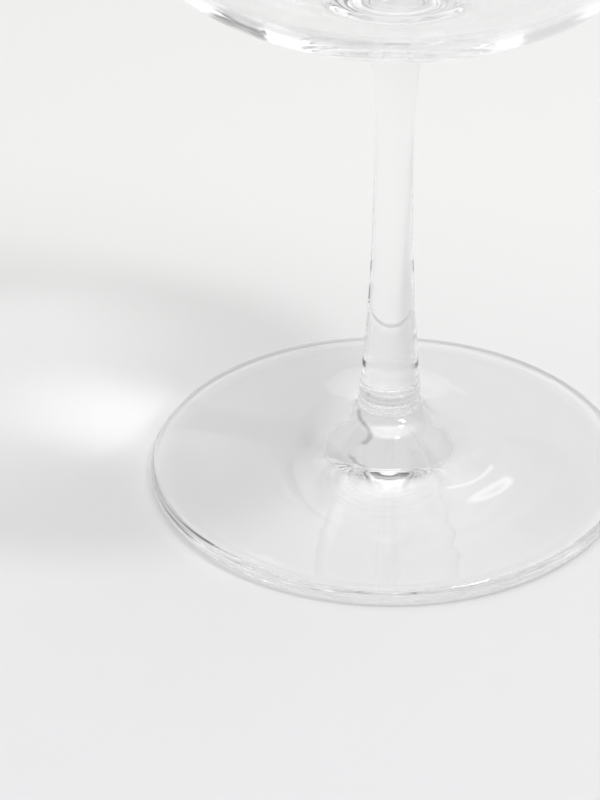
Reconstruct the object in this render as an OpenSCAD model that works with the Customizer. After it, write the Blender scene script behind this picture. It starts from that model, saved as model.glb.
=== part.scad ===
// Nick and nora glass: a small stemmed cocktail glass in clear glass.
// Three pieces of glass are made apart and fused while hot: a pressed foot, a drawn stem and a
// blown bowl. Each piece is a solid of revolution about Z, and the foot stands on the plane Z = 0.

/* [Foot] */
// Diameter of the foot
foot_d = 66; // [58:1:80]
// Thickness of the rounded edge of the foot
foot_lip_t = 2.5; // [1.8:0.1:3.2]
// Height of the seam between foot and stem above the table
foot_hub_h = 12.5; // [10.5:0.1:16]
// Diameter of the hub just below the seam
foot_hub_d = 8.8; // [7.6:0.1:10.4]
// Height over which the hub bends out of the upright
foot_flare_h = 1.5; // [0.8:0.1:3]
// Slope of the upper face where it meets the rounded edge, in degrees
foot_cone_angle = 10; // [4:0.5:13]
// Rise of the hollow under the foot, at its middle
foot_hollow_h = 2.4; // [0.5:0.1:4]
// Height of the low round lump left in the middle of the hollow
foot_lump_h = 0.8; // [0:0.1:1.5]
// Width of that lump
foot_lump_d = 10; // [6:0.5:14]
// Width of the flat ring that the foot stands on
foot_ring_w = 2.2; // [1.2:0.1:4]

/* [Stem] */
// Length of the stem from seam to seam
stem_len = 53.5; // [46:0.5:76]
// Diameter of the stem just above the foot seam
stem_foot_d = 8.5; // [7.4:0.1:10]
// Diameter of the stem at its waist
stem_waist_d = 5.2; // [4.2:0.1:6.8]
// Height of the waist above the foot seam
stem_waist_h = 37.5; // [28:0.5:42]
// Diameter of the stem at the bowl seam
stem_bowl_d = 7.5; // [6.8:0.1:9.6]

/* [Bowl] */
// Diameter of the bowl at its widest ring
bowl_d = 71; // [64:1:82]
// Outer diameter of the rim
bowl_rim_d = 60; // [52:1:70]
// Height from the stem seam to the underside of the bowl
bowl_neck_h = 3.8; // [3:0.1:8]
// Diameter at which the neck has run out into the underside
bowl_neck_d = 32; // [20:0.5:40]
// Height of the rounded bottom, from the underside to the widest ring
bowl_bottom_h = 19.4; // [14:0.1:28]
// Height of the wall, from the widest ring to the rounded rim
bowl_wall_h = 45.3; // [34:0.1:60]
// Thickness of the wall at the widest ring
bowl_wall_t = 1.3; // [1:0.1:2.4]
// Thickness of the wall at the rim
bowl_rim_t = 1.1; // [0.8:0.1:1.8]
// Thickness of the bottom above the underside, on the axis
bowl_base_t = 1.9; // [1.4:0.1:4]

/* [Seams] */
// Depth of the shallow groove round the foot seam
seam_groove = 0.2; // [0.1:0.05:0.4]
// Height over which the groove closes on each side of the seam
seam_h = 0.5; // [0.3:0.05:0.9]

/* [Hidden] */

// Clear glass with a faint cool tint
glass_colour = [0.90, 0.94, 0.94];
glass_alpha = 0.4;

// Steps along a curve, along a rounding, and round the axis
curve_steps = 32;
arc_steps = 10;
$fn = 180;

// How far each end of the foot's upper curve follows its own slope, as a share of its reach
foot_cone_pull_share = 0.6;
// How far the neck's curve follows the slope of the stem and of the underside, as shares of the
// neck's height and of its reach
neck_stem_pull_share = 0.75;
neck_under_pull_share = 0.4;
// Powers of the stem's taper, of the bowl's rounded bottom and of the wall's lean
stem_taper_power = 2.2;
bowl_bottom_power = 2.2;
bowl_wall_power = 1.8;

// Foot
foot_edge_r = foot_lip_t / 2;
foot_edge_x = foot_d / 2 - foot_edge_r;
foot_ring_x = foot_edge_x - foot_ring_w;
foot_hub_r = foot_hub_d / 2;
foot_hub_z = foot_hub_h - seam_h;
foot_lump_r = foot_lump_d / 2;
foot_cone_pull = foot_cone_pull_share * (foot_edge_x - foot_hub_r);

// Stem
stem_top_z = foot_hub_h + stem_len;
stem_foot_r = stem_foot_d / 2;
stem_waist_r = stem_waist_d / 2;
stem_bowl_r = stem_bowl_d / 2;
stem_waist_z = foot_hub_h + stem_waist_h;
stem_foot_z = foot_hub_h + seam_h;
seam_r = stem_foot_r - seam_groove;

// Bowl
bowl_r = bowl_d / 2;
bowl_rim_r = bowl_rim_d / 2;
bowl_under_z = stem_top_z + bowl_neck_h;
bowl_belly_z = bowl_under_z + bowl_bottom_h;
bowl_neck_r = bowl_neck_d / 2;
bowl_hollow_r = bowl_r - bowl_wall_t;
bowl_hollow_h = bowl_bottom_h - bowl_base_t;

// Point at t, from 0 to 1, of the cubic curve from p0 to p3 that leaves towards p1 and comes from p2
function curve_point(p0, p1, p2, p3, t) =
    pow(1 - t, 3) * p0 + 3 * pow(1 - t, 2) * t * p1 + 3 * (1 - t) * pow(t, 2) * p2 + pow(t, 3) * p3;

function curve(p0, p1, p2, p3) =
    [for (i = [0:curve_steps]) curve_point(p0, p1, p2, p3, i / curve_steps)];

// Arc of radius r about a centre, from one angle to another
function arc(centre, r, from, to) =
    [for (i = [0:arc_steps]) let (a = from + (to - from) * i / arc_steps) centre + r * [cos(a), sin(a)]];

// A list of points in reverse, and a list without its first point
function reversed(points) = [for (i = [len(points) - 1:-1:0]) points[i]];
function after_first(points) = [for (i = [1:len(points) - 1]) points[i]];

// Half a cosine wave between two radii, upright at both ends: how a seam closes
function groove(from, to) =
    [for (i = [0:arc_steps]) let (s = i / arc_steps, ease = (1 - cos(180 * s)) / 2)
        [from[0] + (to[0] - from[0]) * ease, from[1] + (to[1] - from[1]) * s]];

// Underside of the foot: a parabola down to the standing ring, with a low round lump in its middle
function foot_hollow() =
    [for (i = [0:curve_steps]) let (s = i / curve_steps, r = foot_ring_x * s)
        [r, (1 - pow(s, 2)) * (foot_hollow_h - foot_lump_h * exp(-pow(r / foot_lump_r, 2)))]];

// Upper face of the foot: a shallow cone at the edge that bends up into the hub
function foot_upper() =
    let (edge = [foot_edge_x, foot_lip_t], hub = [foot_hub_r, foot_hub_z])
    curve(edge, edge + foot_cone_pull * [-cos(foot_cone_angle), sin(foot_cone_angle)],
          hub - [0, foot_flare_h], hub);

// Radius of the stem at a height: it swells from the waist by a power of the distance
function stem_r(z) =
    z < stem_waist_z
    ? stem_waist_r + (stem_foot_r - stem_waist_r)
        * pow((stem_waist_z - z) / (stem_waist_z - stem_foot_z), stem_taper_power)
    : stem_waist_r + (stem_bowl_r - stem_waist_r)
        * pow((z - stem_waist_z) / (stem_top_z - stem_waist_z), stem_taper_power);

function stem_side(from, to) =
    [for (i = [0:curve_steps]) let (z = from + (to - from) * i / curve_steps) [stem_r(z), z]];

// Rise of the stem's side over its run where it meets the bowl
stem_top_lean = (stem_bowl_r - stem_waist_r) * stem_taper_power / (stem_top_z - stem_waist_z);

// Rounded bottom of a bowl: a superellipse of half width r and depth h below the widest ring,
// where a is 0 on the axis and 90 at the widest ring
function bottom_point(r, h, a) =
    [r * pow(sin(a), 2 / bowl_bottom_power), bowl_belly_z - h * pow(cos(a), 2 / bowl_bottom_power)];

function bottom(r, h, from) =
    [for (i = [0:curve_steps]) bottom_point(r, h, from + (90 - from) * i / curve_steps)];

// Angle on the bottom at which the neck has run out, and the slope of the bottom there
neck_angle = asin(pow(bowl_neck_r / bowl_r, bowl_bottom_power / 2));
neck_slope = bowl_bottom_h * pow(sin(neck_angle), 2 - 2 / bowl_bottom_power)
    / (bowl_r * pow(cos(neck_angle), 2 - 2 / bowl_bottom_power));

// Neck of the bowl: it leaves along the stem's side and runs out along the underside
function bowl_neck() =
    let (seam = [stem_bowl_r, stem_top_z],
         under = bottom_point(bowl_r, bowl_bottom_h, neck_angle),
         rise = neck_stem_pull_share * bowl_neck_h,
         run = neck_under_pull_share * (bowl_neck_r - stem_bowl_r))
    curve(seam, seam + rise * [stem_top_lean, 1], under - run * [1, neck_slope], under);

// Outer face of the wall at share u of its height, and its lean there in degrees
function wall_point(u) =
    [bowl_r - (bowl_r - bowl_rim_r) * pow(u, bowl_wall_power), bowl_belly_z + bowl_wall_h * u];
function wall_lean(u) =
    atan((bowl_r - bowl_rim_r) * bowl_wall_power * pow(u, bowl_wall_power - 1) / bowl_wall_h);

// Inner face: the outer face moved inwards by a wall that thins steadily towards the rim
function wall_t(u) = bowl_wall_t + (bowl_rim_t - bowl_wall_t) * u;
function wall_inner_point(u) = wall_point(u) - wall_t(u) * [cos(wall_lean(u)), sin(wall_lean(u))];

function wall_outer() = [for (i = [0:curve_steps]) wall_point(i / curve_steps)];
function wall_inner() = [for (i = [0:curve_steps]) wall_inner_point(i / curve_steps)];

// Fire-polished rim: half a circle across the top of the wall
function bowl_rim() =
    let (lean = wall_lean(1), r = bowl_rim_t / 2)
    arc(wall_point(1) - r * [cos(lean), sin(lean)], r, lean, lean + 180);

module foot() {
    edge = arc([foot_edge_x, foot_edge_r], foot_edge_r, -90, 90);
    seam = groove([foot_hub_r, foot_hub_z], [seam_r, foot_hub_h]);
    color(glass_colour, glass_alpha)
        rotate_extrude()
            polygon(concat(foot_hollow(), edge, after_first(foot_upper()), after_first(seam),
                           [[0, foot_hub_h]]));
}

module stem() {
    seam = groove([seam_r, foot_hub_h], [stem_foot_r, stem_foot_z]);
    color(glass_colour, glass_alpha)
        rotate_extrude()
            polygon(concat([[0, foot_hub_h]], seam,
                           after_first(stem_side(stem_foot_z, stem_waist_z)),
                           after_first(stem_side(stem_waist_z, stem_top_z)), [[0, stem_top_z]]));
}

module bowl() {
    inside = concat(bottom(bowl_hollow_r, bowl_hollow_h, 0), after_first(wall_inner()));
    color(glass_colour, glass_alpha)
        rotate_extrude()
            polygon(concat([[0, stem_top_z]], bowl_neck(),
                           after_first(bottom(bowl_r, bowl_bottom_h, neck_angle)),
                           after_first(wall_outer()), after_first(bowl_rim()),
                           after_first(reversed(inside))));
}

foot();
stem();
bowl();
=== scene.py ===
# %% [markdown]
# # A small stemmed cocktail glass in clear glass
# The glass is three pieces of clear glass, made apart and fused while hot: a pressed foot, a drawn
# stem and a blown bowl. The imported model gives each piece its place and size. Clear glass has no
# colour of its own, so everything that the eye sees of it is light that was bent or turned back by
# its surfaces. That is why this lesson spends its care on smooth surfaces, on true seams and on
# what stands round the glass.
#
# Light that enters a glass wall can run along inside it for a long way before it comes out. Each turn
# counts as a bounce, and a path that is cut short comes out black, so the limits are set high.

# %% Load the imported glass
import math

import bpy
import numpy as np
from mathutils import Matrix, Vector


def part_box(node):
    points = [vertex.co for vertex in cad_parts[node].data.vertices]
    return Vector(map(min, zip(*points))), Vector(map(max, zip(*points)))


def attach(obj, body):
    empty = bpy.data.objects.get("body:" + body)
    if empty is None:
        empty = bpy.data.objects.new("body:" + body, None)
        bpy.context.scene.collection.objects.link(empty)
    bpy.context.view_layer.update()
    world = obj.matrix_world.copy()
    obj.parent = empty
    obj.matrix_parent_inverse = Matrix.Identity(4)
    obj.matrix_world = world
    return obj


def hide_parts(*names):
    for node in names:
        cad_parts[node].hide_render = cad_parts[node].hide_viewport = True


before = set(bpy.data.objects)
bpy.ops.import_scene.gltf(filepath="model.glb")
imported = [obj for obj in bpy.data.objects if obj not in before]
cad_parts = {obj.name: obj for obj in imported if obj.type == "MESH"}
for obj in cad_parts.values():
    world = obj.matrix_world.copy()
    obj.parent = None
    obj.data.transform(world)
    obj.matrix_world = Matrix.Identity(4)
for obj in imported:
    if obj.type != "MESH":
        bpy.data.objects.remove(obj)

MM = 0.001
GLASS_BOUNCES = 160

scene = bpy.context.scene
scene.view_settings.view_transform = "Standard"
scene.cycles.max_bounces = GLASS_BOUNCES
scene.cycles.glossy_bounces = GLASS_BOUNCES
scene.cycles.transmission_bounces = GLASS_BOUNCES
scene.cycles.blur_glossy = 0.0

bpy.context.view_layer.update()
foot_low, foot_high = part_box("foot")
stem_low, stem_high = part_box("stem")
bowl_low, bowl_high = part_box("bowl")
seam_heights = [round((low - foot_low).z / MM, 1) for low in (stem_low, bowl_low)]
print("seams, in mm above the table:", seam_heights)

# %% [markdown]
# ## The camera
# The photograph was taken from above the table with a long lens: the rim of the foot is an ellipse
# about half as high as it is wide, and the sides of the stem hardly lean. A long lens far away and
# a short one close by give the same size on the picture, but only the long one keeps those lines.
# The place and pitch here put the edge of the foot, the stem and the bottom of the bowl where the
# picture has them.

# %% Place the camera
LENS_MM = 144.0
SENSOR_MM = 36.0
CAMERA_PITCH = math.radians(31.78)
CAMERA_PLACE = Vector((-12.321, -373.495, 242.812)) * MM
NEAREST_SEEN = 10 * MM

camera_data = bpy.data.cameras.new("photo_camera")
camera_data.lens = LENS_MM
camera_data.sensor_width = SENSOR_MM
camera_data.sensor_fit = "AUTO"
camera_data.clip_start = NEAREST_SEEN
camera = bpy.data.objects.new("photo_camera", camera_data)
camera.location = CAMERA_PLACE
camera.rotation_euler = (math.pi / 2 - CAMERA_PITCH, 0.0, 0.0)
scene.collection.objects.link(camera)
scene.camera = camera
print("camera", round(CAMERA_PLACE.length, 3), "m from the foot")

# %% [markdown]
# ## Curves in the half plane
# Each piece is round, so its whole shape is one line in a half plane: how far from the axis, and how
# high. Such a line is put together from short runs: a cubic curve where glass flows from one slope
# into another, an arc where an edge is rounded, and a wave where two pieces were fused.

# %% Runs of a profile
def cubic(start, towards, coming_from, end, count):
    """Cubic curve: leaves start in the direction of towards and reaches end from coming_from."""
    t = np.linspace(0.0, 1.0, count)[:, None]
    a, b, c, d = (np.asarray(p, float) for p in (start, towards, coming_from, end))
    return (1 - t) ** 3 * a + 3 * (1 - t) ** 2 * t * b + 3 * (1 - t) * t ** 2 * c + t ** 3 * d


def arc(centre, radius, first, last, count=24):
    """Part of a circle from the first to the last angle, in degrees from the outward direction."""
    angle = np.radians(np.linspace(first, last, count))
    return np.asarray(centre, float) + radius * np.stack([np.cos(angle), np.sin(angle)], axis=1)


def half_wave(start, end, count=16):
    """Half a cosine wave between two radii, upright at both ends: how fused glass closes a seam."""
    s = np.linspace(0.0, 1.0, count)
    ease = (1 - np.cos(np.pi * s)) / 2
    radius = start[0] + (end[0] - start[0]) * ease
    return np.stack([radius, start[1] + (end[1] - start[1]) * s], axis=1)


def join_runs(*runs):
    """One profile from runs that meet end to end; the point that two runs share is kept once."""
    return np.concatenate([runs[0]] + [run[1:] for run in runs[1:]])


print("runs of a profile: cubic, arc, half wave")

# %% [markdown]
# ## Turning a profile into glass
# A Spin or Screw modifier could turn the profile, but it leaves doubled points at the axis and a
# seam where it closes, and glass shows both. Here the surface is a grid worked out at once: one
# parameter runs along the profile, the other round the axis. The two ends of the profile lie on
# the axis, and each is a single point with a fan of triangles.
#
# Where two pieces were fused, each has a flat face inside the glass. Light passes such a face without
# bending, so it gets a second material that lets everything through.

# %% Turn a profile
TURN_STEPS = 256


def turned_piece(name, profile, seam_first, seam_last, wobble=None):
    """Surface of revolution: point (i, j) has the radius and height of profile point i, turned by
    the j-th of TURN_STEPS equal angles. wobble, if given, shifts the grid of points as a function
    of radius, height and angle. The first and last points lie on the axis."""
    angle = np.linspace(0.0, 2 * np.pi, TURN_STEPS, endpoint=False)[None, :]
    radius = profile[1:-1, 0][:, None] + 0 * angle
    height = profile[1:-1, 1][:, None] + 0 * angle
    if wobble is not None:
        radius, height = wobble(radius, height, angle)
    rings = np.stack([radius * np.cos(angle), radius * np.sin(angle), height], axis=2)
    first_point, last_point = [[0.0, 0.0, profile[0, 1]]], [[0.0, 0.0, profile[-1, 1]]]
    points = np.concatenate([first_point, rings.reshape(-1, 3), last_point])

    number = 1 + np.arange(len(rings))[:, None] * TURN_STEPS + np.arange(TURN_STEPS)[None, :]
    after = np.roll(number, -1, axis=1)
    first_fan = np.stack([np.zeros(TURN_STEPS, int), after[0], number[0]], axis=1)
    quads = np.stack([number[:-1], after[:-1], after[1:], number[1:]], axis=2).reshape(-1, 4)
    last_fan = np.stack([number[-1], after[-1], np.full(TURN_STEPS, len(points) - 1)], axis=1)
    faces = first_fan.tolist() + quads.tolist() + last_fan.tolist()

    mesh = bpy.data.meshes.new(name)
    mesh.from_pydata(points.tolist(), [], faces)
    seam = np.zeros(len(faces), bool)
    seam[:TURN_STEPS] = seam_first
    seam[len(faces) - TURN_STEPS:] = seam_last
    for material in (clear_glass, fused_face):
        mesh.materials.append(material)
    mesh.polygons.foreach_set("material_index", seam.astype(np.int32))
    mesh.polygons.foreach_set("use_smooth", ~seam)
    mesh.update()
    piece = bpy.data.objects.new(name, mesh)
    scene.collection.objects.link(piece)
    print(name, len(points), "points,", len(faces), "faces")
    return piece


print("each piece is turned in", TURN_STEPS, "steps")

# %% [markdown]
# ## The glass
# Soda-lime glass bends light by an index of about 1.5, and a Principled shader with full
# transmission does the rest. The finish is fire polished: no grain, no scratches, but never quite
# flat. Two noises, one about as wide as a fingertip and one much finer, drive a very shallow bump,
# so that reflections waver a little, as they do on glass that was worked by hand.

# %% Clear glass
GLASS_IOR = 1.5
GLASS_TINT = (0.997, 0.996, 0.996, 1.0)
# scale of the noise, and depth in metres, of each wave in the surface
WAVES = [(140.0, 0.00001), (650.0, 0.000003)]
WAVE_DETAIL = 1.0


def make_clear_glass(name):
    """Clear glass whose surface waves very slightly, by noise of about 7 mm and of about 1.5 mm."""
    material = bpy.data.materials.new(name)
    material.use_nodes = True
    nodes, links = material.node_tree.nodes, material.node_tree.links
    shader = nodes["Principled BSDF"]
    shader.inputs["Base Color"].default_value = GLASS_TINT
    shader.inputs["Roughness"].default_value = 0.0
    shader.inputs["IOR"].default_value = GLASS_IOR
    shader.inputs["Transmission Weight"].default_value = 1.0
    place = nodes.new("ShaderNodeTexCoord").outputs["Object"]

    normal = None
    for scale, depth in WAVES:
        noise = nodes.new("ShaderNodeTexNoise")
        noise.inputs["Scale"].default_value = scale
        noise.inputs["Detail"].default_value = WAVE_DETAIL
        links.new(place, noise.inputs["Vector"])
        wave = nodes.new("ShaderNodeBump")
        wave.inputs["Distance"].default_value = depth
        links.new(noise.outputs["Fac"], wave.inputs["Height"])
        if normal is not None:
            links.new(normal, wave.inputs["Normal"])
        normal = wave.outputs["Normal"]
    links.new(normal, shader.inputs["Normal"])
    return material


clear_glass = make_clear_glass("clear_glass")
print("material", clear_glass.name, "with", len(WAVES), "waves")

# %% [markdown]
# ## A shadow with dark edges
# Cycles follows light through glass from the eye, but asks each lamp only whether the straight line
# to it is free. Clear glass would then throw a shadow like that of wood. So for that question alone
# the glass turns see-through, and lets less light by where the light grazes it, which is what gives
# a real glass its pale shadow with dark edges. The face inside a seam is see-through always.

# %% Let lamps through, and the fused face
# slant from and to, and the light let through at each
SHADOW_FADE = (0.10, 0.85, 0.94, 0.30)
SLANT_BLEND = 0.5


def map_range(tree, value, low, high, at_low, at_high, smooth=True):
    """Map Range node: low to high becomes at_low to at_high, eased at both ends if smooth."""
    node = tree.nodes.new("ShaderNodeMapRange")
    if smooth:
        node.interpolation_type = "SMOOTHSTEP"
    names = ("From Min", "From Max", "To Min", "To Max")
    for name, number in zip(names, (low, high, at_low, at_high)):
        node.inputs[name].default_value = number
    tree.links.new(value, node.inputs["Value"])
    return node.outputs["Result"]


def let_lamps_through(material):
    """For rays that ask whether a lamp reaches a point, the glass becomes see-through: clear where the
    light meets it squarely and dark where it grazes."""
    nodes, links = material.node_tree.nodes, material.node_tree.links
    slant = nodes.new("ShaderNodeLayerWeight")
    slant.inputs["Blend"].default_value = SLANT_BLEND
    passing = map_range(material.node_tree, slant.outputs["Facing"], *SHADOW_FADE, smooth=False)
    through = nodes.new("ShaderNodeBsdfTransparent")
    links.new(passing, through.inputs["Color"])
    mix = nodes.new("ShaderNodeMixShader")
    links.new(nodes.new("ShaderNodeLightPath").outputs["Is Shadow Ray"], mix.inputs["Fac"])
    links.new(nodes["Principled BSDF"].outputs["BSDF"], mix.inputs[1])
    links.new(through.outputs["BSDF"], mix.inputs[2])
    links.new(mix.outputs["Shader"], nodes["Material Output"].inputs["Surface"])


def make_fused_face():
    """The inside of a seam: nothing to see, so the shader is wholly see-through."""
    material = bpy.data.materials.new("fused_face")
    material.use_nodes = True
    shader = material.node_tree.nodes["Principled BSDF"]
    shader.inputs["Alpha"].default_value = 0.0
    return material


let_lamps_through(clear_glass)
fused_face = make_fused_face()
print("material", fused_face.name, "for the faces inside a seam")

# %% [markdown]
# ## The foot
# The foot is pressed from a gob of glass at the end of the stem. Its edge is rounded, its upper face
# rises as a shallow cone and bends up into a hub, and its underside is hollow, so that it stands on
# a ring near the edge. A cylinder with bevelled and scaled rings would come close, but one profile
# for the whole foot keeps it a single closed skin, and a ray that enters glass has to meet such a
# skin again on its way out.

# %% The foot's profile
LIP_T = 2.5 * MM
HUB_R = 4.4 * MM
HUB_BEND_H = 1.5 * MM
HUB_TOP_GAP = 0.5 * MM
SEAM_R = 4.05 * MM
CONE_ANGLE = math.radians(10.0)
CONE_PULL_SHARE = 0.6
HOLLOW_H = 2.4 * MM
LUMP_H = 0.8 * MM
LUMP_R = 5.0 * MM
RING_W = 2.2 * MM
HOLLOW_STEPS = 120
CONE_STEPS = 90

foot_r = foot_high.x
seam_z = foot_high.z
lip_r = LIP_T / 2
edge_x = foot_r - lip_r
ring_x = edge_x - RING_W


def foot_profile():
    """Underside parabola with a low lump in its middle, standing ring, half-round edge, cubic upper
    face, half wave to the seam."""
    s = np.linspace(0.0, 1.0, HOLLOW_STEPS)
    lump = LUMP_H * np.exp(-(ring_x * s / LUMP_R) ** 2)
    hollow = np.stack([ring_x * s, (1 - s ** 2) * (HOLLOW_H - lump)], axis=1)
    ring = np.array([[ring_x, 0.0], [edge_x, 0.0]])
    edge = arc((edge_x, lip_r), lip_r, -90, 90)
    hub = np.array([HUB_R, seam_z - HUB_TOP_GAP])
    up_the_cone = np.array([-math.cos(CONE_ANGLE), math.sin(CONE_ANGLE)])
    pull = CONE_PULL_SHARE * (edge_x - HUB_R)
    upper = cubic(edge[-1], edge[-1] + pull * up_the_cone, hub - np.array([0.0, HUB_BEND_H]), hub,
                  CONE_STEPS)
    groove = half_wave(hub, (SEAM_R, seam_z))
    seam_face = np.array([[SEAM_R, seam_z], [0.0, seam_z]])
    return join_runs(hollow, ring, edge, upper, groove, seam_face)


print("foot", round(2 * foot_r / MM, 1), "mm wide, stands on a ring", round(RING_W / MM, 1), "mm wide")

# %% [markdown]
# ## What the press left
# The press left faint rings in the foot's upper face, stronger on one side, and a hub that is not
# quite round. They are a few hundredths of a millimetre at most, far too little to feel, but a
# window mirrored in the foot breaks up into bows there. A bump in the material could bend the
# mirror image too, but the shape belongs to the glass, so it is part of the mesh.

# %% The foot
RIPPLE_LENGTH = 4.2 * MM
RIPPLE_H = 0.018 * MM
# the side where they are strongest, how sharply they weaken away from it, and the share that is left
RIPPLE_SIDE = math.radians(-38.0)
RIPPLE_SPREAD = 7.0
RIPPLE_REST = 0.1
# radii between which the ripples rise, and between which they die away
RIPPLE_RISE = (8 * MM, 14 * MM)
RIPPLE_END = (30 * MM, 25 * MM)
# number of turns, size and start of each sine
RIPPLE_SHIFTS = [(1, 1.3, 0.6), (3, 0.7, 0.0)]
HUB_SINES = [(2, 1.0, 0.4), (3, 0.7, 2.0)]
HUB_WOBBLE = 0.03 * MM
HUB_REACH = (14 * MM, 5 * MM)
SEAM_CALM_H = 1.5 * MM


def ramp(value, start, end):
    """Straight rise from 0 at start to 1 at end, flat on both sides."""
    return np.clip((value - start) / (end - start), 0.0, 1.0)


def sines(angle, terms):
    """Sum of sines, each of a number of turns, a size and a start."""
    return sum(size * np.sin(turns * angle + start) for turns, size, start in terms)


def foot_ripples(radius, height, angle):
    """Ripples in the upper face: a sine of the radius that fades out towards the hub and the edge,
    shifts round the foot and is strongest on one side. The hub is out of round by two sines that
    fade out towards the seam."""
    top = height > LIP_T
    reach = ramp(radius, *RIPPLE_RISE) * ramp(radius, *RIPPLE_END)
    on_side = np.exp(RIPPLE_SPREAD * (np.cos(angle - RIPPLE_SIDE) - 1))
    strength = RIPPLE_REST + (1 - RIPPLE_REST) * on_side
    phase = 2 * np.pi * radius / RIPPLE_LENGTH + sines(angle, RIPPLE_SHIFTS)
    ripples = np.where(top, RIPPLE_H * reach * strength * np.sin(phase), 0.0)
    near_hub = np.where(top, ramp(radius, *HUB_REACH), 0.0)
    below_seam = ramp(height, seam_z, seam_z - SEAM_CALM_H)
    out_of_round = HUB_WOBBLE * near_hub * below_seam * sines(angle, HUB_SINES)
    return radius + out_of_round, height + ripples


foot = turned_piece("foot_glass", foot_profile(), seam_first=False, seam_last=True, wobble=foot_ripples)
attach(foot, "root")
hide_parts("foot")

# %% [markdown]
# ## The stem
# The stem is drawn out of hot glass, which is why it is thinnest in its upper half and swells towards
# both ends. A spline through a few widths would do, but a power of the distance from the waist says
# the same with fewer numbers and has no bumps.

# %% The stem
STEM_FOOT_R = 4.25 * MM
STEM_WAIST_R = 2.6 * MM
STEM_WAIST_H = 37.5 * MM
STEM_BOWL_R = 3.75 * MM
STEM_POWER = 2.2
STEM_LOW_STEPS = 90
STEM_HIGH_STEPS = 60

stem_top_z = stem_high.z
stem_foot_z = seam_z + HUB_TOP_GAP
waist_z = seam_z + STEM_WAIST_H


def stem_swell(z, end_z, end_r):
    """Radius at height z between the waist and one end: the waist plus a power of the distance."""
    share = (z - waist_z) / (end_z - waist_z)
    return STEM_WAIST_R + (end_r - STEM_WAIST_R) * share ** STEM_POWER


def stem_profile():
    """Seam face, half wave out of the seam, lower swell, upper swell, seam face."""
    foot_face = np.array([[0.0, seam_z], [SEAM_R, seam_z]])
    groove = half_wave((SEAM_R, seam_z), (STEM_FOOT_R, stem_foot_z))
    low_z = np.linspace(stem_foot_z, waist_z, STEM_LOW_STEPS)
    high_z = np.linspace(waist_z, stem_top_z, STEM_HIGH_STEPS)
    low = np.stack([stem_swell(low_z, stem_foot_z, STEM_FOOT_R), low_z], axis=1)
    high = np.stack([stem_swell(high_z, stem_top_z, STEM_BOWL_R), high_z], axis=1)
    bowl_face = np.array([[STEM_BOWL_R, stem_top_z], [0.0, stem_top_z]])
    return join_runs(foot_face, groove, low, high, bowl_face)


stem = turned_piece("stem_glass", stem_profile(), seam_first=True, seam_last=True)
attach(stem, "root")
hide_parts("stem")

# %% [markdown]
# ## The bowl
# The bowl is blown. Its bottom is a superellipse, flatter in the middle and tighter at the turn than
# a plain ellipse, and its wall leans in towards the rim. A sphere that is scaled and cut would give
# the same rough form, but a power for each of the two faces says how full the bottom is and how late
# the wall begins to lean.

# %% The bowl's faces
BOTTOM_H = 19.4 * MM
BOTTOM_POWER = 2.2
WALL_H = 45.3 * MM
WALL_POWER = 1.8
RIM_R = 30.0 * MM
NECK_H = 3.8 * MM

bowl_r = bowl_high.x
belly_z = stem_top_z + NECK_H + BOTTOM_H


def bowl_bottom(half_width, depth, angle):
    """Superellipse below the widest ring; angle is 0 on the axis and a quarter turn at the ring."""
    share = 2 / BOTTOM_POWER
    radius = half_width * np.sin(angle) ** share
    return np.stack([radius, belly_z - depth * np.cos(angle) ** share], axis=-1)


def bowl_wall(u):
    """Outer face of the wall at share u of its height, with the outward normal and the lean there."""
    inset = bowl_r - RIM_R
    point = np.stack([bowl_r - inset * u ** WALL_POWER, belly_z + WALL_H * u], axis=-1)
    lean = np.arctan(inset * WALL_POWER * u ** (WALL_POWER - 1) / WALL_H)
    return point, np.stack([np.cos(lean), np.sin(lean)], axis=-1), lean


print("widest ring", round(2 * bowl_r / MM, 1), "mm across,", round(belly_z / MM, 1), "mm up")

# %% [markdown]
# ## The neck and the wall
# Under the bowl, glass flows from the stem's side into the underside in one bend, the neck. It is a
# cubic curve, which can leave along the lean of the stem and arrive along the slope of the underside.
# The bottom is thick where the neck meets it, the wall thins upwards, and the rim is melted round. A
# Solidify modifier would give one thickness everywhere, so the inner face has a profile of its own.

# %% The bowl
NECK_R = 16.0 * MM
NECK_STEM_PULL_SHARE = 0.75
NECK_UNDER_PULL_SHARE = 0.4
WALL_T = 1.3 * MM
RIM_T = 1.1 * MM
BASE_T = 1.9 * MM
NECK_STEPS = 48
BOTTOM_STEPS = 70
WALL_STEPS = 60
INSIDE_STEPS = 80


def bowl_neck(neck_angle):
    """Cubic from the stem's side, along its lean, to the underside, along its slope there."""
    under = bowl_bottom(bowl_r, BOTTOM_H, np.array(neck_angle))
    slope = BOTTOM_H / bowl_r * math.tan(neck_angle) ** (2 - 2 / BOTTOM_POWER)
    seam = np.array([STEM_BOWL_R, stem_top_z])
    stem_lean = (STEM_BOWL_R - STEM_WAIST_R) * STEM_POWER / (stem_top_z - waist_z)
    up_the_stem = NECK_STEM_PULL_SHARE * NECK_H * np.array([stem_lean, 1.0])
    out_along = NECK_UNDER_PULL_SHARE * (NECK_R - STEM_BOWL_R) * np.array([1.0, slope])
    return cubic(seam, seam + up_the_stem, under - out_along, under, NECK_STEPS)


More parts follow.
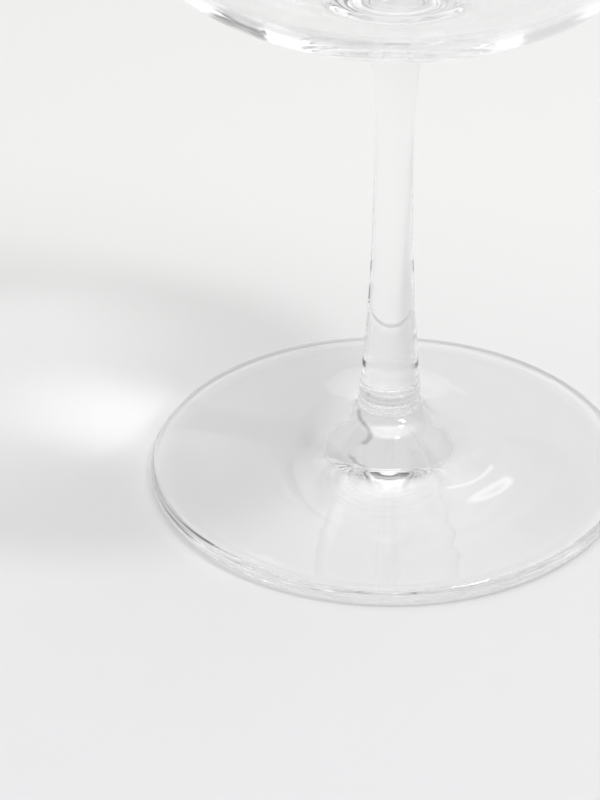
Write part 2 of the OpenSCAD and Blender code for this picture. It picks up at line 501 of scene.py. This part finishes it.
def bowl_profile():
    """Seam face, neck, outer bottom, outer wall, round rim, inner wall, inner bottom."""
    neck_angle = math.asin((NECK_R / bowl_r) ** (BOTTOM_POWER / 2))
    neck = bowl_neck(neck_angle)
    outside = np.linspace(neck_angle, math.pi / 2, BOTTOM_STEPS)
    inside = np.linspace(math.pi / 2, 0.0, INSIDE_STEPS)
    outer_bottom = bowl_bottom(bowl_r, BOTTOM_H, outside)
    inner_bottom = bowl_bottom(bowl_r - WALL_T, BOTTOM_H - BASE_T, inside)
    u = np.linspace(0.0, 1.0, WALL_STEPS)
    outer, normal, lean = bowl_wall(u)
    inner = outer - normal * (WALL_T + (RIM_T - WALL_T) * u)[:, None]
    rim_r, rim_lean = RIM_T / 2, math.degrees(lean[-1])
    rim = arc(outer[-1] - normal[-1] * rim_r, rim_r, rim_lean, rim_lean + 180)
    seam_face = np.array([[0.0, stem_top_z], [STEM_BOWL_R, stem_top_z]])
    return join_runs(seam_face, neck, outer_bottom, outer, rim, inner[::-1], inner_bottom)


bowl = turned_piece("bowl_glass", bowl_profile(), seam_first=True, seam_last=False)
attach(bowl, "root")
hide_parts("bowl")

# %% [markdown]
# ## The table
# A plain white table, large enough that its edge is never in the picture. Its colour carries painted
# shade: a little cooler and darker in front than behind, as light falls off on paper that bends up
# towards a window. It lies a twentieth of a millimetre below the standing ring: two faces in exactly
# the same place would leave Cycles to guess which of them a ray meets first, and the ring would come
# out black.

# %% The table
TABLE_HALF = 4.0
TABLE_GAP = 0.05 * MM
# painted shade: a darker, cooler white in front and a lighter white behind, for light falling off
# forward
TABLE_SHADED_NEAR = (0.785, 0.785, 0.795, 1.0)
TABLE_LIT_FAR = (0.835, 0.835, 0.828, 1.0)
# places along Y, in metres, between which the painted shade turns from the darker front to the lighter
# back
TABLE_SHADE_FADE = (-0.075, 0.085)
TABLE_ROUGHNESS = 0.9
TABLE_SHINE = 0.1


def make_white_with_painted_shade():
    """Dull white with painted shade: darker and cooler in front, lighter behind, between two places."""
    material = bpy.data.materials.new("white_table_painted_shade")
    material.use_nodes = True
    nodes, links = material.node_tree.nodes, material.node_tree.links
    split = nodes.new("ShaderNodeSeparateXYZ")
    links.new(nodes.new("ShaderNodeTexCoord").outputs["Object"], split.inputs["Vector"])
    # painted shade: share of the lighter back colour, rising from front to back
    depth = map_range(material.node_tree, split.outputs["Y"], *TABLE_SHADE_FADE, 0.0, 1.0)
    colour = nodes.new("ShaderNodeMix")
    colour.data_type = "RGBA"
    links.new(depth, colour.inputs["Factor"])
    colour.inputs["A"].default_value = TABLE_SHADED_NEAR
    colour.inputs["B"].default_value = TABLE_LIT_FAR
    shader = nodes["Principled BSDF"]
    links.new(colour.outputs["Result"], shader.inputs["Base Color"])
    shader.inputs["Roughness"].default_value = TABLE_ROUGHNESS
    shader.inputs["Specular IOR Level"].default_value = TABLE_SHINE
    return material


def make_table():
    """A square of table top just below z = 0."""
    mesh = bpy.data.meshes.new("table_top")
    corners = np.array([[-1, -1], [1, -1], [1, 1], [-1, 1]]) * TABLE_HALF
    points = np.column_stack([corners, np.full(len(corners), -TABLE_GAP)])
    mesh.from_pydata(points.tolist(), [], [(0, 1, 2, 3)])
    mesh.materials.append(make_white_with_painted_shade())
    table = bpy.data.objects.new("table_top", mesh)
    scene.collection.objects.link(table)
    return table


table_top = make_table()
print("table top", 2 * TABLE_HALF, "m wide")

# %% [markdown]
# ## The room
# Every line in clear glass is a bent picture of the room, so the room is what gives it its drawing.
# An evenly white room would make the glass vanish. This one is pale at eye height and brighter above,
# darker behind the camera, with windows, a doorway and beams to the sides. A photograph of a room
# could do the same, but a few soft boxes in azimuth and elevation can be placed by reading off, for
# each edge of the glass, which way the light there came from.
#
# The last list holds a window that is bright only in a mirror image. It gives the bows on the foot.

# %% The room's panels
HORIZON_LEVEL = 0.67
CEILING_LEVEL = 1.45
CEILING_FROM = math.radians(40.0)
CEILING_TO = math.radians(62.0)
# direction of the dark behind the camera, its share of the light, and the cosines where it fades
CAMERA_SIDE = (0.0, -0.77, 0.64)
CAMERA_SIDE_LEVEL = 0.12
CAMERA_SIDE_FADE = (0.86, 0.97)
DARKEST_LEVEL = 0.02
# name, azimuth from straight behind, half width, elevation, half height, soft edge (degrees), level
ROOM_PANELS = [
    ("right window", 50.0, 6.0, 38.0, 22.0, 2.0, 0.55),
    ("right curtain", 40.0, 4.0, 23.0, 4.0, 1.0, -0.45),
    ("dark doorway", 108.0, 48.0, 31.0, 19.0, 6.0, -0.48),
    ("dark corner", -145.0, 20.0, 26.0, 14.0, 5.0, -0.48),
    ("left window", -47.0, 6.0, 25.0, 6.0, 2.0, 0.5),
    ("left pane", -55.0, 12.0, 40.0, 6.0, 3.0, 0.45),
    ("left beam", -50.0, 30.0, 63.0, 7.0, 3.0, -1.1),
    ("right beam", 34.0, 14.0, 66.0, 6.0, 3.0, -1.1),
    ("window post", 23.5, 2.0, 37.0, 12.0, 1.5, -0.24),
    ("small skylight", -9.0, 2.0, 46.0, 1.4, 0.8, 0.9),
]
# the same, for windows that gleam on the glass and are not seen through it
GLEAMS = [
    ("right gleam", 31.5, 1.0, 51.0, 9.0, 1.0, 2.6),
]
print("room with", len(ROOM_PANELS), "panels and", len(GLEAMS), "gleam")

# %% [markdown]
# ## From panels to light
# The world's nodes work out the azimuth and elevation of each direction, and every panel adds its
# level where both lie inside it. Cycles could sample the world as it samples a lamp, but that is
# turned off: light from the room then reaches the table along true paths through the glass, and not
# by the short cut that is kept for the lamps.

# %% The room
def make_room():
    """The world: pale at the horizon and brighter overhead, darker behind the camera, with panels that
    are boxes in azimuth and elevation whose edges fade over a few degrees."""
    world = bpy.data.worlds.new("white_room")
    scene.world = world
    world.use_nodes = True
    world.cycles.sampling_method = "NONE"
    tree = world.node_tree
    nodes, links = tree.nodes, tree.links

    def math_node(operation, first, second=None):
        node = nodes.new("ShaderNodeMath")
        node.operation = operation
        for socket, value in zip(node.inputs, (first, second)):
            if isinstance(value, bpy.types.NodeSocket):
                links.new(value, socket)
            elif value is not None:
                socket.default_value = value
        return node.outputs["Value"]

    direction = nodes.new("ShaderNodeTexCoord").outputs["Generated"]
    split = nodes.new("ShaderNodeSeparateXYZ")
    links.new(direction, split.inputs["Vector"])
    azimuth = math_node("ARCTAN2", split.outputs["X"], split.outputs["Y"])
    elevation = math_node("ARCSINE", split.outputs["Z"])

    def inside(angle, middle, half, soft):
        off = math_node("ABSOLUTE", math_node("SUBTRACT", angle, math.radians(middle)))
        return map_range(tree, off, math.radians(half - soft), math.radians(half + soft), 1.0, 0.0)

    def panel(side, half_width, height, half_height, soft, strength):
        across = inside(azimuth, side, half_width, soft)
        upright = inside(elevation, height, half_height, soft)
        return math_node("MULTIPLY", math_node("MULTIPLY", across, upright), strength)

    level = map_range(tree, elevation, CEILING_FROM, CEILING_TO, HORIZON_LEVEL, CEILING_LEVEL)
    towards_camera = nodes.new("ShaderNodeVectorMath")
    towards_camera.operation = "DOT_PRODUCT"
    towards_camera.inputs[1].default_value = Vector(CAMERA_SIDE).normalized()
    links.new(direction, towards_camera.inputs[0])
    dimmed = map_range(tree, towards_camera.outputs["Value"], *CAMERA_SIDE_FADE, 1.0, CAMERA_SIDE_LEVEL)
    level = math_node("MULTIPLY", level, dimmed)
    for title, *box in ROOM_PANELS:
        level = math_node("ADD", level, panel(*box))

    path = nodes.new("ShaderNodeLightPath").outputs
    mirrored = math_node("SUBTRACT", path["Is Glossy Ray"], path["Is Transmission Ray"])
    mirrored = math_node("MAXIMUM", mirrored, 0.0)
    for title, *box in GLEAMS:
        level = math_node("ADD", level, math_node("MULTIPLY", mirrored, panel(*box)))
    background = nodes["Background"]
    background.inputs["Color"].default_value = (1.0, 1.0, 1.0, 1.0)
    links.new(math_node("MAXIMUM", level, DARKEST_LEVEL), background.inputs["Strength"])


make_room()
print("world", scene.world.name, "with", len(scene.world.node_tree.nodes), "nodes")

# %% [markdown]
# ## The lamps
# A small high lamp at the right, a little in front, draws the shadow of the bowl on the table. A
# second one beside it softens that shadow's edge, and a wide one overhead fills it. A sun lamp would
# draw the shadow too, but with no falling off across the table. The lamps are hidden from light that
# has gone through glass, which would show them as hard white discs.

# %% The lamps
LAMP_DISTANCE = 1.2
# name, direction from the foot, width in metres, watts, mirrored in the glass or not
LAMPS = [
    ("high_lamp", (0.446, -0.18, 1.0), 0.14, 2.6, True),
    ("front_lamp", (0.40, -0.30, 1.0), 0.20, 0.8, True),
    ("wide_lamp", (0.15, -0.10, 1.0), 0.90, 1.2, False),
]

for title, towards, width, watts, mirrored in LAMPS:
    data = bpy.data.lights.new(title, "AREA")
    data.shape = "DISK"
    data.size = width
    data.energy = watts
    lamp = bpy.data.objects.new(title, data)
    direction = Vector(towards).normalized()
    lamp.location = direction * LAMP_DISTANCE
    lamp.rotation_euler = direction.to_track_quat("Z", "Y").to_euler()
    lamp.visible_transmission = False
    lamp.visible_glossy = mirrored
    scene.collection.objects.link(lamp)
    print(title, "at", [round(v, 2) for v in lamp.location])

# %% [markdown]
# ## Gathered light
# The round bottom of the bowl is a lens: it takes light from the rim of its shadow and gathers it in
# a soft bright pool in the middle, with a fainter veil towards the foot. Cycles can trace such a
# caustic only for thick, simple lenses, so it is drawn by narrow spot lamps that shine from where the
# high lamp is.

# %% The gathered light
SPOT_SOURCE_R = 0.01
# name, place on the table, reach from side to side and from front to back in mm, watts
GATHERED = [
    ("light_pool", (-40.5, 14.5), 9.5, 20.0, 5.0),
    ("light_spot", (-38.8, 13.8), 5.6, 14.0, 30.0),
    ("light_veil", (-23.0, 6.5), 10.0, 19.0, 20.0),
]

from_high_lamp = Vector(LAMPS[0][1]).normalized()
for title, (x, y), across, along, watts in GATHERED:
    data = bpy.data.lights.new(title, "SPOT")
    data.spot_size = 2 * math.atan(along * MM / LAMP_DISTANCE)
    data.spot_blend = 1.0
    data.shadow_soft_size = SPOT_SOURCE_R
    data.energy = watts
    gathered = bpy.data.objects.new(title, data)
    gathered.location = Vector((x, y, 0.0)) * MM + from_high_lamp * LAMP_DISTANCE
    gathered.rotation_euler = from_high_lamp.to_track_quat("Z", "Y").to_euler()
    gathered.scale = (across / along, 1.0, 1.0)
    gathered.visible_glossy = False
    gathered.visible_transmission = False
    scene.collection.objects.link(gathered)
    print(title, "at", (x, y), "mm on the table")
